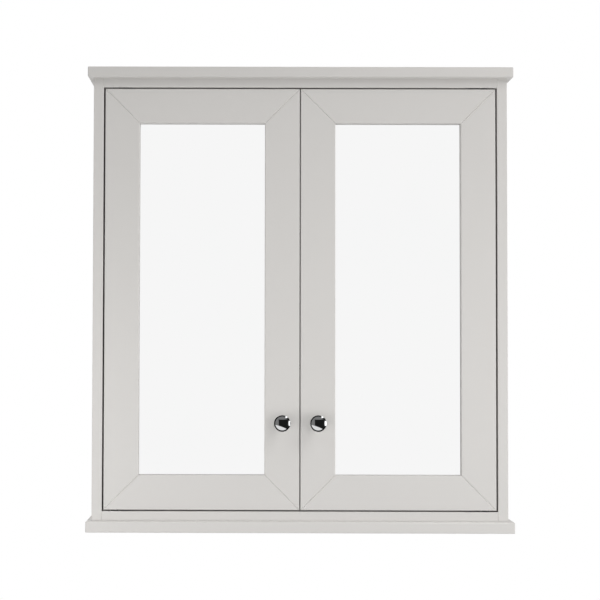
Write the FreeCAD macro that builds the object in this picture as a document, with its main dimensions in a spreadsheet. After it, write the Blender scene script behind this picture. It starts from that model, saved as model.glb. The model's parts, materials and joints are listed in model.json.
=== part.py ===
import FreeCAD, Part
import operator
import os
from types import SimpleNamespace

import Sketcher
from FreeCAD import Rotation, Vector

# Mirrored bathroom wall cabinet with two inset doors on concealed pivots.
# Millimetres. +X right, -Y front, +Z up. The origin lies on the wall, at the centre of the four wall screws.

SIZES = {
    # case
    "case_width": 620,
    "case_depth": 160,
    "opening_height": 634,
    "side_panel": 15,
    "deck_panel": 14,
    "panel_ease": 0.5,
    "back_panel": 6,
    "groove_depth": 6,
    "rail_thickness": 15,
    "rail_height": 60,
    "wall_hole_spread": 440,
    "wall_hole_radius": 3.25,
    # overhanging boards
    "top_board": 16,
    "base_board": 17,
    "overhang": 8.5,
    "board_round": 4,
    "board_ease": 1.2,
    # fits
    "fit": 0.1,
    "running_fit": 0.05,
    "glass_fit": 1,
    # dowels and screws
    "dowel_radius": 4,
    "dowel_in_side": 10,
    "dowel_in_deck": 20,
    "joint_inset": 45,
    "rail_dowel_pitch": 30,
    "screw_radius": 1.75,
    "screw_head_radius": 3.5,
    "screw_head_height": 1.75,
    "board_screw_spread": 400,
    "board_screw_bite": 11,
    # shelves
    "shelf_thickness": 6,
    "shelf_end_gap": 2,
    "shelf_back_gap": 2,
    "shelf_front_gap": 13,
    "pin_radius": 2.5,
    "pin_in": 9,
    "pin_out": 8,
    "pin_collar_radius": 4.5,
    "pin_collar": 1.5,
    "pin_inset": 22,
    "pin_pitch": 32,
    # doors
    "door_thickness": 20,
    "hinge_gap": 2.5,
    "meeting_gap": 1.5,
    "door_gap": 2,
    "member_width": 52,
    "member_ease": 0.9,
    "rebate": 8,
    "lip": 7,
    "mirror": 4,
    "mirror_backing": 3,
    "bead_width": 7,
    "mitre_dowel_radius": 3,
    "mitre_dowel_length": 24,
    "mitre_dowel_margin": 1.5,
    # pivots
    "pivot_inset": 16,
    "pivot_setback": 8,
    "pivot_radius": 3,
    "pivot_reach": 11,
    "pivot_end_gap": 0.5,
    "plate_thickness": 2.5,
    "plate_cover": 1.5,
    "plate_heel": 3,
    "plate_toe": 6,
    "plate_screw_gap": 2.5,
    "plate_screw_pitch": 9,
    "plate_screw_length": 11,
    "socket_wall": 2,
    "socket_floor": 1.5,
    "washer_wall": 2.5,
    "washer_play": 0.2,
    # catch
    "strike_thickness": 1,
    "strike_height": 12,
    "strike_drop": 1,
    "strike_inset": 7,
    "strike_screw_inset": 5,
    "strike_screw_gap": 3.2,
    "small_screw_radius": 1.5,
    "small_screw_head_radius": 2.8,
    "small_screw_head": 1.4,
    "small_screw_length": 12,
    "catch_wall": 4,
    "catch_floor": 1,
    "magnet_width": 16,
    "magnet_depth": 8,
    "magnet_height": 8,
    "magnet_spread": 28,
    "catch_screw_gap": 2,
    "catch_screw_bite": 9,
    # knobs
    "knob_drop": 185.5,
    "knob_radius": 12.5,
    "knob_rose_radius": 7,
    "knob_rose": 2,
    "knob_neck_radius": 4.75,
    "knob_neck": 6,
    "knob_flare": 7,
    "knob_flare_radius": 9,
    "knob_rim": 3,
    "knob_step": 1.5,
    "knob_dome": 3.5,
    "knob_screw_radius": 2,
    "knob_screw_head_radius": 4,
    "knob_screw_head": 2.2,
    "knob_screw_bite": 9,
    "knob_bore_spare": 2,
}

OPERATIONS = {"+": operator.add, "-": operator.sub, "*": operator.mul, "/": operator.truediv}
LOOSE = 1e-6
HALF_SQUARE = 0.5 ** 0.5
SHELF_BAYS = 3
SHELF_HOLES = range(-2, 3)
SIDES = {"left": -1, "right": 1}
LEVELS = {"lower": -1, "upper": 1}

doc = FreeCAD.newDocument("MirrorCabinet")
sheet = doc.addObject("Spreadsheet::Sheet", "Sizes")
nodes = {}


class Size:
    # a number together with the sheet expression that gives it
    def __init__(self, value, text):
        self.value = value
        self.text = text

    def __add__(self, other):
        return combine(self, "+", other)

    def __radd__(self, other):
        return combine(other, "+", self)

    def __sub__(self, other):
        return combine(self, "-", other)

    def __rsub__(self, other):
        return combine(other, "-", self)

    def __mul__(self, other):
        return combine(self, "*", other)

    def __rmul__(self, other):
        return combine(other, "*", self)

    def __truediv__(self, other):
        return combine(self, "/", other)

    def __neg__(self):
        return combine(-1, "*", self)


def as_size(amount):
    return amount if isinstance(amount, Size) else Size(amount, f"({amount})")


def combine(left, sign, right):
    left = as_size(left)
    right = as_size(right)
    return Size(OPERATIONS[sign](left.value, right.value), f"({left.text} {sign} {right.text})")


def fill_sheet():
    for row, (alias, value) in enumerate(SIZES.items(), 1):
        sheet.set(f"A{row}", alias)
        sheet.set(f"B{row}", str(value))
        sheet.setAlias(f"B{row}", alias)
    doc.recompute()
    return SimpleNamespace(**{alias: Size(value, f"Sizes.{alias}") for alias, value in SIZES.items()})


mm = fill_sheet()

# places that several pieces share
inner = mm.case_width / 2 - mm.side_panel
deck_z = mm.opening_height / 2
side_height = mm.opening_height + 2 * mm.deck_panel
back_front = mm.rail_thickness + mm.back_panel
joint_rows = (-mm.joint_inset, mm.joint_inset - mm.case_depth)
rail_z = deck_z - mm.rail_height / 2
door_width = inner - mm.hinge_gap - mm.meeting_gap / 2
door_half = deck_z - mm.door_gap
door_height = 2 * door_half
door_back = mm.door_thickness - mm.case_depth
pivot_x = inner - mm.hinge_gap - mm.pivot_inset
pivot_y = mm.pivot_setback - mm.case_depth
glass_width = door_width - 2 * mm.member_width
glass_height = door_height - 2 * mm.member_width
pivot_bore = mm.pivot_radius + mm.running_fit
socket_radius = pivot_bore + mm.socket_wall
plate_screw_near = socket_radius + mm.plate_screw_gap + mm.screw_head_radius
plate_screw_far = plate_screw_near + mm.plate_screw_pitch
strike_z = door_half - mm.strike_drop - mm.strike_height / 2
catch_width = mm.magnet_spread + mm.magnet_width + 2 * mm.catch_wall
foot = as_size(0)

HEADINGS = {
    "x": Rotation(Vector(0, 1, 0), 90),
    "y": Rotation(Vector(1, 0, 0), -90),
    "-y": Rotation(Vector(1, 0, 0), 90),
    "z": Rotation(),
    "-z": Rotation(Vector(1, 0, 0), 180),
}


def bind(item, **amounts):
    for prop, amount in amounts.items():
        item.setExpression(prop, as_size(amount).text)
    return item


def place(item, at, rotation=Rotation()):
    corner = Vector(*[as_size(amount).value for amount in at])
    item.Placement = FreeCAD.Placement(corner, rotation)
    for axis, amount in zip("xyz", at):
        item.setExpression(f"Placement.Base.{axis}", as_size(amount).text)
    return item


def box(name, extent, at):
    item = doc.addObject("Part::Box", name)
    bind(item, Length=extent[0], Width=extent[1], Height=extent[2])
    return place(item, at)


def rod(name, radius, length, at, heading):
    item = doc.addObject("Part::Cylinder", name)
    bind(item, Radius=radius, Height=length)
    rotation = heading if isinstance(heading, Rotation) else HEADINGS[heading]
    return place(item, at, rotation)


def fuse(name, items):
    item = doc.addObject("Part::MultiFuse", name)
    item.Shapes = items
    return item


def cut(name, base, tools):
    item = doc.addObject("Part::Cut", name)
    item.Base = base
    item.Tool = tools[0] if len(tools) == 1 else fuse(name + "_bores", tools)
    return item


def group(name, items):
    item = doc.addObject("Part::Compound", name)
    item.Links = items
    return item


def node(label, item):
    item.Label = label
    nodes[label] = item
    return item


def countersunk(name, length, at, heading, grow=0):
    # countersunk wood screw, or its bore when it is grown by a fit
    head = doc.addObject("Part::Cone", name + "_head")
    bind(head, Radius1=mm.screw_head_radius + grow, Radius2=mm.screw_radius + grow)
    bind(head, Height=mm.screw_head_height)
    place(head, at, HEADINGS[heading])
    shank = rod(name + "_shank", mm.screw_radius + grow, length, at, heading)
    return fuse(name, [head, shank])


def screws(label, length, places, heading):
    # a node of like screws, and their bores
    solids = [countersunk(f"{label}_{i}", length, at, heading) for i, at in enumerate(places)]
    bores = [countersunk(f"{label}_bore_{i}", length, at, heading, mm.fit) for i, at in enumerate(places)]
    node(label, group(label, solids))
    return bores


def outline(sketch, points, arcs=None):
    # closed outline through points given as pairs of sizes; arcs maps a stretch to its radius and its side
    arcs = arcs or {}
    values = [Vector(as_size(x).value, as_size(y).value, 0) for x, y in points]
    ends = []
    for i, start in enumerate(values):
        finish = values[(i + 1) % len(values)]
        if i in arcs:
            radius, side = arcs[i]
            chord = finish - start
            sagitta = radius.value - (radius.value ** 2 - (chord.Length / 2) ** 2) ** 0.5
            bulge = Vector(-chord.y, chord.x, 0).normalize() * (side * sagitta)
            sketch.addGeometry(Part.Arc(start, (start + finish) / 2 + bulge, finish), False)
            forward = (sketch.getPoint(i, 1) - start).Length < (sketch.getPoint(i, 2) - start).Length
            ends.append((1, 2) if forward else (2, 1))
            index = sketch.addConstraint(Sketcher.Constraint("Radius", i, radius.value))
            sketch.setExpression(f"Constraints[{index}]", radius.text)
        else:
            sketch.addGeometry(Part.LineSegment(start, finish), False)
            ends.append((1, 2))
    for i, (x, y) in enumerate(points):
        before = i - 1 if i else len(points) - 1
        sketch.addConstraint(Sketcher.Constraint("Coincident", before, ends[before][1], i, ends[i][0]))
        for amount, kind, axis in ((x, "DistanceX", -2), (y, "DistanceY", -1)):
            if not isinstance(amount, Size):
                sketch.addConstraint(Sketcher.Constraint("PointOnObject", i, ends[i][0], axis))
                continue
            index = sketch.addConstraint(Sketcher.Constraint(kind, -1, 1, i, ends[i][0], amount.value))
            sketch.setExpression(f"Constraints[{index}]", amount.text)


def new_sketch(body, name, role):
    sketch = body.newObject("Sketcher::SketchObject", name)
    plane = next(feature for feature in body.Origin.OriginFeatures if feature.Role == role)
    sketch.AttachmentSupport = (plane, [""])
    sketch.MapMode = "FlatFace"
    return sketch


def padded_body(name, points, thickness):
    body = doc.addObject("PartDesign::Body", name)
    sketch = new_sketch(body, name + "_outline", "XY_Plane")
    outline(sketch, points)
    pad = body.newObject("PartDesign::Pad", name + "_pad")
    pad.Profile = sketch
    bind(pad, Length=thickness)
    doc.recompute()
    return body


def on_level(height, spared_y=None):
    # picks edges that lie at one height, apart from one at the spared depth
    def test(edge):
        points = [vertex.Point for vertex in edge.Vertexes]
        level = all(abs(point.z - height.value) < LOOSE for point in points)
        spared = spared_y is not None and all(abs(point.y - spared_y.value) < LOOSE for point in points)
        return level and not spared
    return test


def at_front(covered):
    # picks the edges round the front face of a panel, apart from those at heights that a board covers
    def test(edge):
        points = [vertex.Point for vertex in edge.Vertexes]
        shut = any(all(abs(point.z - height.value) < LOOSE for point in points) for height in covered)
        return not shut and all(abs(point.y) < LOOSE for point in points)
    return test


def soften(body, kind, name, test, **amount):
    # round or chamfer the edges of the body that pass the test
    base = body.Tip
    feature = body.newObject(kind, name)
    feature.Base = (base, [f"Edge{i}" for i, edge in enumerate(base.Shape.Edges, 1) if test(edge)])
    bind(feature, **amount)
    doc.recompute()


def eased_panel(name, extent, at, covered):
    # panel of the case, with the edges of its front face eased where no board covers them
    width, depth, height = extent
    body = padded_body(name, [(0, 0), (width, 0), (width, depth), (0, depth)], height)
    soften(body, "PartDesign::Chamfer", name + "_ease", at_front(covered), Size=mm.panel_ease)
    return place(body, at)


def overhang_board(label, thickness, low_z, lower, upper):
    # board over or under the case, rounded along its front and its two ends
    width = mm.case_width + 2 * mm.overhang
    depth = mm.case_depth + mm.overhang
    body = padded_body(label + "_body", [(0, 0), (width, 0), (width, depth), (0, depth)], thickness)
    soften(body, "PartDesign::Fillet", label + "_lower", on_level(foot, depth), Radius=lower)
    soften(body, "PartDesign::Fillet", label + "_upper", on_level(thickness, depth), Radius=upper)
    return place(body, (-width / 2, -depth, low_z))


def case():
    bores = []
    walls = []

    # back panel in grooves, hanging rails behind it, wall screw holes through both
    back = box("back_board", (2 * (inner + mm.groove_depth - mm.fit), mm.back_panel,
                              2 * (deck_z + mm.groove_depth - mm.fit)),
               (mm.fit - inner - mm.groove_depth, -back_front, mm.fit - deck_z - mm.groove_depth))
    bores.append(box("back_groove", (2 * (inner + mm.groove_depth), mm.back_panel,
                                     2 * (deck_z + mm.groove_depth)),
                     (-inner - mm.groove_depth, -back_front, -deck_z - mm.groove_depth)))
    for side in SIDES.values():
        for level in LEVELS.values():
            at = (side * mm.wall_hole_spread / 2, -back_front, level * rail_z)
            walls.append(rod("wall_hole", mm.wall_hole_radius, back_front, at, "y"))
    node("back_panel", cut("back_panel", back, walls))
    bores += walls

    # dowels of the decks and of the hanging rails
    dowel_length = mm.dowel_in_side + mm.dowel_in_deck
    places = []
    for side in SIDES.values():
        start = side * inner - (mm.dowel_in_deck if side > 0 else mm.dowel_in_side)
        for level in LEVELS.values():
            places += [(start, row, level * (deck_z + mm.deck_panel / 2)) for row in joint_rows]
            for step in (-mm.rail_dowel_pitch / 2, mm.rail_dowel_pitch / 2):
                places.append((start, -mm.rail_thickness / 2, level * rail_z + step))
    dowels = [rod("carcass_dowel", mm.dowel_radius, dowel_length, at, "x") for at in places]
    bores += [rod("carcass_dowel_bore", mm.dowel_radius + mm.fit, dowel_length, at, "x") for at in places]
    node("carcass_dowels", group("carcass_dowels", dowels))

    # screws of the overhanging boards
    for label, level, heading in (("base_board_screws", -1, "-z"), ("top_board_screws", 1, "z")):
        places = [(side * mm.board_screw_spread / 2, row, level * deck_z)
                  for side in SIDES.values() for row in joint_rows]
        bores += screws(label, mm.deck_panel + mm.board_screw_bite, places, heading)

    bores += shelves()
    bores += case_pivots()
    bores += catch()

    panels = {
        "top_panel": eased_panel("top_deck", (2 * inner, mm.case_depth, mm.deck_panel),
                                 (-inner, -mm.case_depth, deck_z), [mm.deck_panel]),
        "bottom_panel": eased_panel("bottom_deck", (2 * inner, mm.case_depth, mm.deck_panel),
                                    (-inner, -mm.case_depth, -deck_z - mm.deck_panel), [foot]),
        "upper_hanging_rail": box("upper_rail", (2 * inner, mm.rail_thickness, mm.rail_height),
                                  (-inner, -mm.rail_thickness, deck_z - mm.rail_height)),
        "lower_hanging_rail": box("lower_rail", (2 * inner, mm.rail_thickness, mm.rail_height),
                                  (-inner, -mm.rail_thickness, -deck_z)),
        "top_board": overhang_board("top_board", mm.top_board, deck_z + mm.deck_panel,
                                    mm.board_round, mm.board_ease),
        "base_board": overhang_board("base_board", mm.base_board, -deck_z - mm.deck_panel - mm.base_board,
                                     mm.board_ease, mm.board_round),
    }
    for name, side in SIDES.items():
        start = side * (inner + mm.side_panel / 2) - mm.side_panel / 2
        extent = (mm.side_panel, mm.case_depth, side_height)
        at = (start, -mm.case_depth, -side_height / 2)
        panels[name + "_side_panel"] = eased_panel(name + "_side", extent, at, [foot, side_height])
    drilling = fuse("case_bores", bores)
    for label, board in panels.items():
        node(label, cut(label, board, [drilling]))


def shelves():
    # two glass shelves that part the height into equal bays, on pins in rows of holes
    bores = []
    pins = []
    shelf_back = -back_front - mm.shelf_back_gap
    shelf_front = door_back + mm.shelf_front_gap
    columns = (shelf_back - mm.pin_inset, shelf_front + mm.pin_inset)
    for name, level in LEVELS.items():
        bottom = level * mm.opening_height / SHELF_BAYS / 2
        length = 2 * (inner - mm.pin_collar - mm.shelf_end_gap)
        extent = (length, shelf_back - shelf_front, mm.shelf_thickness)
        node(name + "_shelf", box(name + "_shelf", extent, (-length / 2, shelf_front, bottom)))
        for side in SIDES.values():
            for column in columns:
                pin_z = bottom - mm.pin_radius
                pins.append(shelf_pin(side, column, pin_z))
                bore_x = side * (inner + mm.pin_in / 2) - mm.pin_in / 2
                for hole in SHELF_HOLES:
                    at = (bore_x, column, pin_z + hole * mm.pin_pitch)
                    bores.append(rod("pin_bore", mm.pin_radius + mm.fit, mm.pin_in, at, "x"))
    node("shelf_pins", group("shelf_pins", pins))
    return bores


def shelf_pin(side, column, height):
    length = mm.pin_in + mm.pin_out
    start = side * (inner + mm.pin_in / 2 - mm.pin_out / 2) - length / 2
    collar_start = side * (inner - mm.pin_collar / 2) - mm.pin_collar / 2
    shank = rod("pin_shank", mm.pin_radius, length, (start, column, height), "x")
    collar = rod("pin_collar", mm.pin_collar_radius, mm.pin_collar, (collar_start, column, height), "x")
    return fuse("shelf_pin", [shank, collar])


def plate_box(name, side, low_z, thickness, grow=0):
    # plate of a pivot, whose heel points to the side of the case, or its recess when grown by a fit
    heel = socket_radius + mm.plate_heel
    toe = plate_screw_far + mm.plate_toe
    half_wide = mm.pivot_setback - mm.plate_cover
    left = heel if side < 0 else toe
    at = (side * pivot_x - left - grow, pivot_y - half_wide - grow, low_z)
    return box(name, (heel + toe + 2 * grow, 2 * (half_wide + grow), thickness), at)


def plate_screw_places(side, height):
    return [(side * (pivot_x - step), pivot_y, height) for step in (plate_screw_near, plate_screw_far)]


def facing(level, inward):
    # heading along the pivot axis, into the opening or away from it
    return "-z" if (level > 0) == inward else "z"


def case_pivots():
    # plates let into the top and bottom panels, each with a pin into the door
    bores = []
    washers = []
    places = {level: [] for level in LEVELS.values()}
    for side_name, side in SIDES.items():
        for level_name, level in LEVELS.items():
            face = level * deck_z
            low_z = face if level > 0 else face - mm.plate_thickness
            axis_at = (side * pivot_x, pivot_y, face)
            inward = facing(level, True)
            outward = facing(level, False)
            seats = plate_screw_places(side, face)
            plate = plate_box("pivot_plate", side, low_z, mm.plate_thickness)
            pin = rod("pivot_pin", mm.pivot_radius, mm.door_gap + mm.pivot_reach, axis_at, inward)
            holes = [countersunk("plate_bore", mm.plate_screw_length, at, outward, mm.fit) for at in seats]
            label = f"{side_name}_{level_name}_pivot_plate"
            node(label, cut(label, fuse("pivot_body", [plate, pin]), holes))
            bores.append(plate_box("pivot_plate_recess", side, low_z, mm.plate_thickness, mm.fit))
            places[level] += seats
            thickness = mm.door_gap - mm.washer_play
            disc = rod("washer_disc", pivot_bore + mm.washer_wall, thickness, axis_at, inward)
            eye = rod("washer_eye", pivot_bore, mm.door_gap, axis_at, inward)
            washers.append(cut("washer", disc, [eye]))
    node("pivot_washers", group("pivot_washers", washers))
    for name, level in LEVELS.items():
        label = f"{name}_pivot_plate_screws"
        bores += screws(label, mm.plate_screw_length, places[level], facing(level, False))
    return bores


def catch():
    # double magnetic catch under the top panel, which also stops both doors
    front = door_back + mm.strike_thickness
    magnet_low = strike_z - mm.magnet_height / 2
    low_z = magnet_low - mm.catch_floor
    height = deck_z - low_z
    magnets = []
    for side in SIDES.values():
        at = (side * mm.magnet_spread / 2 - mm.magnet_width / 2, front, magnet_low)
        magnets.append(box("magnet", (mm.magnet_width, mm.magnet_depth, mm.magnet_height), at))
    screw_room = mm.catch_screw_gap + mm.screw_head_radius
    row = front + mm.magnet_depth + screw_room
    places = [(side * mm.magnet_spread / 2, row, low_z) for side in SIDES.values()]
    bores = screws("catch_screws", height + mm.catch_screw_bite, places, "z")
    extent = (catch_width, mm.magnet_depth + 2 * screw_room, height)
    shell = box("catch_block", extent, (-catch_width / 2, front, low_z))
    node("catch_housing", cut("catch_housing", shell, magnets + bores))
    node("catch_magnets", group("catch_magnets", magnets))
    return bores


def member(name, length, at, quarter):
    # mitred frame member: long edge outside, rebate along its inner back edge
    wide = mm.member_width
    body = padded_body(name, [(0, 0), (length, 0), (length - wide, wide), (wide, wide)], mm.door_thickness)
    solid = body.Tip.Shape.Volume
    sketch = new_sketch(body, name + "_rebate_outline", "XY_Plane")
    step = wide - mm.rebate
    outline(sketch, [(0, step), (length, step), (length, wide), (0, wide)])
    pocket = body.newObject("PartDesign::Pocket", name + "_rebate")
    pocket.Profile = sketch
    pocket.Reversed = True
    bind(pocket, Length=mm.door_thickness - mm.lip)
    doc.recompute()
    if body.Tip.Shape.Volume > solid - 1:
        raise RuntimeError(f"{name}: the rebate removes nothing")
    soften(body, "PartDesign::Chamfer", name + "_ease", on_level(mm.door_thickness), Size=mm.member_ease)
    turn = Rotation(Vector(0, -1, 0), 90 * quarter) * HEADINGS["-y"]
    return place(body, at, turn)


def door(side_name, side):
    left = side * (mm.meeting_gap / 2 + door_width / 2) - door_width / 2
    right = left + door_width
    stiles = ("hinge_stile", "meeting_stile") if side < 0 else ("meeting_stile", "hinge_stile")
    members = {
        "bottom_rail": member(f"{side_name}_bottom", door_width, (left, door_back, -door_half), 0),
        stiles[1]: member(f"{side_name}_right_stile", door_height, (right, door_back, -door_half), 1),
        "top_rail": member(f"{side_name}_top", door_width, (right, door_back, door_half), 2),
        stiles[0]: member(f"{side_name}_left_stile", door_height, (left, door_back, door_half), 3),
    }
    bores = mitre_dowels(side_name, left, right)
    bores += door_sockets(side_name, side)
    bores += strike(side_name, side)
    bores += knob(side_name, side)
    glazing(side_name, left)
    drilling = fuse(side_name + "_door_bores", bores)
    for name, body in members.items():
        node(f"{side_name}_{name}", cut(f"{side_name}_{name}", body, [drilling]))


def mitre_dowels(side_name, left, right):
    # one dowel square to each mitre, centred in the thickness
    middle = door_back - mm.door_thickness / 2
    reach = mm.mitre_dowel_length / 2 * HALF_SQUARE
    room = reach + mm.mitre_dowel_radius * HALF_SQUARE + mm.mitre_dowel_margin
    inset = mm.member_width - mm.rebate - room
    dowels = []
    bores = []
    for corner_x, inward_x in ((left, 1), (right, -1)):
        for level in LEVELS.values():
            slope = Vector(inward_x, 0, level)
            at = (corner_x + inward_x * (inset - reach), middle, level * (door_half - inset - reach))
            turn = Rotation(Vector(0, 0, 1), slope)
            radius = mm.mitre_dowel_radius
            dowels.append(rod("mitre_dowel", radius, mm.mitre_dowel_length, at, turn))
            bores.append(rod("mitre_dowel_bore", radius + mm.fit, mm.mitre_dowel_length, at, turn))
    node(f"{side_name}_mitre_dowels", group(f"{side_name}_mitre_dowels", dowels))
    return bores


def door_sockets(side_name, side):
    # plates let into the ends of the door, each with a boss bored for its pin
    bores = []
    screw_set = []
    socket_depth = mm.pivot_reach + mm.pivot_end_gap + mm.socket_floor
    for level_name, level in LEVELS.items():
        face = level * door_half
        low_z = face - mm.plate_thickness if level > 0 else face
        axis_at = (side * pivot_x, pivot_y, face)
        inward = facing(level, True)
        seats = plate_screw_places(side, face)
        screw_set += [countersunk("socket_screw", mm.plate_screw_length, at, inward) for at in seats]
        holes = [countersunk("socket_screw_bore", mm.plate_screw_length, at, inward, mm.fit) for at in seats]
        plate = plate_box("socket_plate", side, low_z, mm.plate_thickness)
        boss = rod("socket_boss", socket_radius, socket_depth, axis_at, inward)
        bore = rod("socket_bore", pivot_bore, mm.pivot_reach + mm.pivot_end_gap, axis_at, inward)
        label = f"{side_name}_{level_name}_pivot_socket"
        node(label, cut(label, fuse("socket_body", [plate, boss]), [bore] + holes))
        bores += holes
        bores.append(plate_box("socket_recess", side, low_z, mm.plate_thickness, mm.fit))
        bores.append(rod("socket_seat", socket_radius + mm.fit, socket_depth, axis_at, inward))
    node(f"{side_name}_pivot_socket_screws", group(f"{side_name}_pivot_socket_screws", screw_set))
    return bores


def pan_head(name, radius, length, head_radius, head, at):
    # screw driven forward from behind, with its head standing on the surface
    shank = rod(name + "_shank", radius, length + head, (at[0], at[1] + head, at[2]), "-y")
    cap = rod(name + "_cap", head_radius, head, at, "y")
    return fuse(name, [shank, cap])


def strike(side_name, side):
    # steel plate on the back of the door, held by one screw
    screw_x = catch_width / 2 + mm.strike_screw_gap + mm.small_screw_head_radius
    length = screw_x + mm.strike_screw_inset - mm.strike_inset
    start = side * (mm.strike_inset + length / 2) - length / 2
    plate = box("strike_blank", (length, mm.strike_thickness, mm.strike_height),
                (start, door_back, strike_z - mm.strike_height / 2))
    at = (side * screw_x, door_back + mm.strike_thickness, strike_z)
    bore = rod("strike_bore", mm.small_screw_radius + mm.fit, mm.small_screw_length, at, "-y")
    screw = pan_head(f"{side_name}_strike_screw", mm.small_screw_radius, mm.small_screw_length,
                     mm.small_screw_head_radius, mm.small_screw_head, at)
    node(f"{side_name}_strike_plate", cut(f"{side_name}_strike_plate", plate, [bore]))
    node(f"{side_name}_strike_screw", screw)
    return [bore]


def knob(side_name, side):
    # turned knob: rose, neck, flared back, stepped rim and domed face, bored for its screw
    rose = mm.knob_rose
    neck = rose + mm.knob_neck
    rim = neck + mm.knob_flare
    step = rim + mm.knob_rim
    face = step + mm.knob_step
    face_radius = mm.knob_radius - mm.knob_step
    dome_radius = (face_radius * face_radius + mm.knob_dome * mm.knob_dome) / (2 * mm.knob_dome)
    bore_radius = mm.knob_screw_radius + mm.fit
    bore_end = mm.knob_screw_bite + mm.knob_bore_spare
    points = [
        (bore_radius, 0),
        (mm.knob_rose_radius, 0),
        (mm.knob_rose_radius, rose),
        (mm.knob_neck_radius, rose),
        (mm.knob_neck_radius, neck),
        (mm.knob_radius, rim),
        (mm.knob_radius, step),
        (face_radius, face),
        (0, face + mm.knob_dome),
        (0, bore_end),
        (bore_radius, bore_end),
    ]
    body = doc.addObject("PartDesign::Body", f"{side_name}_knob_body")
    sketch = new_sketch(body, f"{side_name}_knob_profile", "XZ_Plane")
    outline(sketch, points, {4: (mm.knob_flare_radius, -1), 7: (dome_radius, -1)})
    turned = body.newObject("PartDesign::Revolution", f"{side_name}_knob_turned")
    turned.Profile = sketch
    turned.ReferenceAxis = (sketch, ["V_Axis"])
    turned.Angle = 360
    centre = side * (mm.meeting_gap / 2 + mm.member_width / 2)
    place(body, (centre, -mm.case_depth, -mm.knob_drop), HEADINGS["-y"])
    node(f"{side_name}_knob", body)
    at = (centre, door_back, -mm.knob_drop)
    length = mm.door_thickness + mm.knob_screw_bite
    screw = pan_head(f"{side_name}_knob_screw", mm.knob_screw_radius, length,
                     mm.knob_screw_head_radius, mm.knob_screw_head, at)
    node(f"{side_name}_knob_screw", screw)
    return [rod("knob_screw_bore", bore_radius, length, at, "-y")]


def glazing(side_name, left):
    # mirror and its backing in the rebate, held by four beads
    seat = mm.rebate - mm.glass_fit
    width = glass_width + 2 * seat
    height = glass_height + 2 * seat
    low_x = left + mm.member_width - seat
    front = mm.lip - mm.case_depth
    backing_y = front + mm.mirror
    bead_y = backing_y + mm.mirror_backing
    for label, thickness, low_y in ((f"{side_name}_mirror", mm.mirror, front),
                                    (f"{side_name}_mirror_backing", mm.mirror_backing, backing_y)):
        node(label, box(label, (width, thickness, height), (low_x, low_y, -height / 2)))
    bead = mm.door_thickness - mm.lip - mm.mirror - mm.mirror_backing
    wide = glass_width + 2 * mm.rebate
    tall = glass_height + 2 * mm.rebate
    edge_x = left + mm.member_width - mm.rebate
    beads = []
    for step in (0, tall - mm.bead_width):
        beads.append(box("bead_across", (wide, bead, mm.bead_width), (edge_x, bead_y, step - tall / 2)))
    for step in (0, wide - mm.bead_width):
        beads.append(box("bead_upright", (mm.bead_width, bead, tall - 2 * mm.bead_width),
                         (edge_x + step, bead_y, mm.bead_width - tall / 2)))
    node(f"{side_name}_mirror_beads", group(f"{side_name}_mirror_beads", beads))


def check():
    for item in doc.Objects:
        if {"Invalid", "Error"} & set(item.State):
            raise RuntimeError(f"{item.Label}: {item.State}")
    for label, item in nodes.items():
        if item.Shape.isNull() or not item.Shape.isValid() or not item.Shape.Solids:
            raise RuntimeError(f"{label}: no valid shape")


case()
for side_name, side in SIDES.items():
    door(side_name, side)
doc.recompute()
check()
os.makedirs("parts", exist_ok=True)
for label, item in nodes.items():
    item.Shape.exportStep(f"parts/{label}.step")
print(f"{len(nodes)} nodes, {sum(len(item.Shape.Solids) for item in nodes.values())} solids")
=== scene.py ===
import json
import math

import bpy
import bmesh
import numpy as np
from mathutils import Matrix, Vector


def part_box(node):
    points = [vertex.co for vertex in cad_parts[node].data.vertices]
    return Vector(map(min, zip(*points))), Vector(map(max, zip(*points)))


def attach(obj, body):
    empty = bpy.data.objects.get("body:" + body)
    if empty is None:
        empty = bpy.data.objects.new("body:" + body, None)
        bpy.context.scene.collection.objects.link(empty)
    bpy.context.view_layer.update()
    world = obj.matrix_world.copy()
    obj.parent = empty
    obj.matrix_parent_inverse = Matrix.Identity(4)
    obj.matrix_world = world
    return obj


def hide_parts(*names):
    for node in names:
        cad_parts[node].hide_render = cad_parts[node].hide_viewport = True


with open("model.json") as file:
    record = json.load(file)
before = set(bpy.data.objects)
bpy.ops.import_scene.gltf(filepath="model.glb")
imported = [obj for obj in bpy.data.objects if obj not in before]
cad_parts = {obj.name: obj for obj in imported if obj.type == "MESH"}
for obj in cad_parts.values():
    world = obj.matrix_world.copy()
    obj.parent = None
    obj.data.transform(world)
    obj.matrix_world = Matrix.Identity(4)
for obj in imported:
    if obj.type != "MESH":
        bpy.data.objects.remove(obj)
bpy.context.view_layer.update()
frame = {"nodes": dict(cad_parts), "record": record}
nodes = frame["nodes"]
milli = 0.001
print("frame loaded:", len(nodes), "nodes")


# node helpers
def feed(tree, value, socket):
    # a socket linked to another one, or set to a plain value
    if isinstance(value, bpy.types.NodeSocket):
        tree.links.new(value, socket)
    else:
        socket.default_value = value


def addNode(tree, kind, inputs=None, **settings):
    # a shader node with its settings made and its sockets fed
    node = tree.nodes.new("ShaderNode" + kind)
    for key, value in settings.items():
        setattr(node, key, value)
    for key, value in (inputs or {}).items():
        feed(tree, value, node.inputs[key])
    return node


def arithmetic(tree, operation, *values):
    # one operation on one to three values
    node = addNode(tree, "Math", dict(enumerate(values)), operation=operation)
    return node.outputs[0]


def ramp(tree, value, low, high, fromLow, fromHigh):
    # value between two limits spread smoothly over low to high, clamped
    node = addNode(tree, "MapRange", {"Value": value, "From Min": fromLow, "From Max": fromHigh,
                                      "To Min": low, "To Max": high}, interpolation_type="SMOOTHSTEP")
    return node.outputs["Result"]


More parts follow.
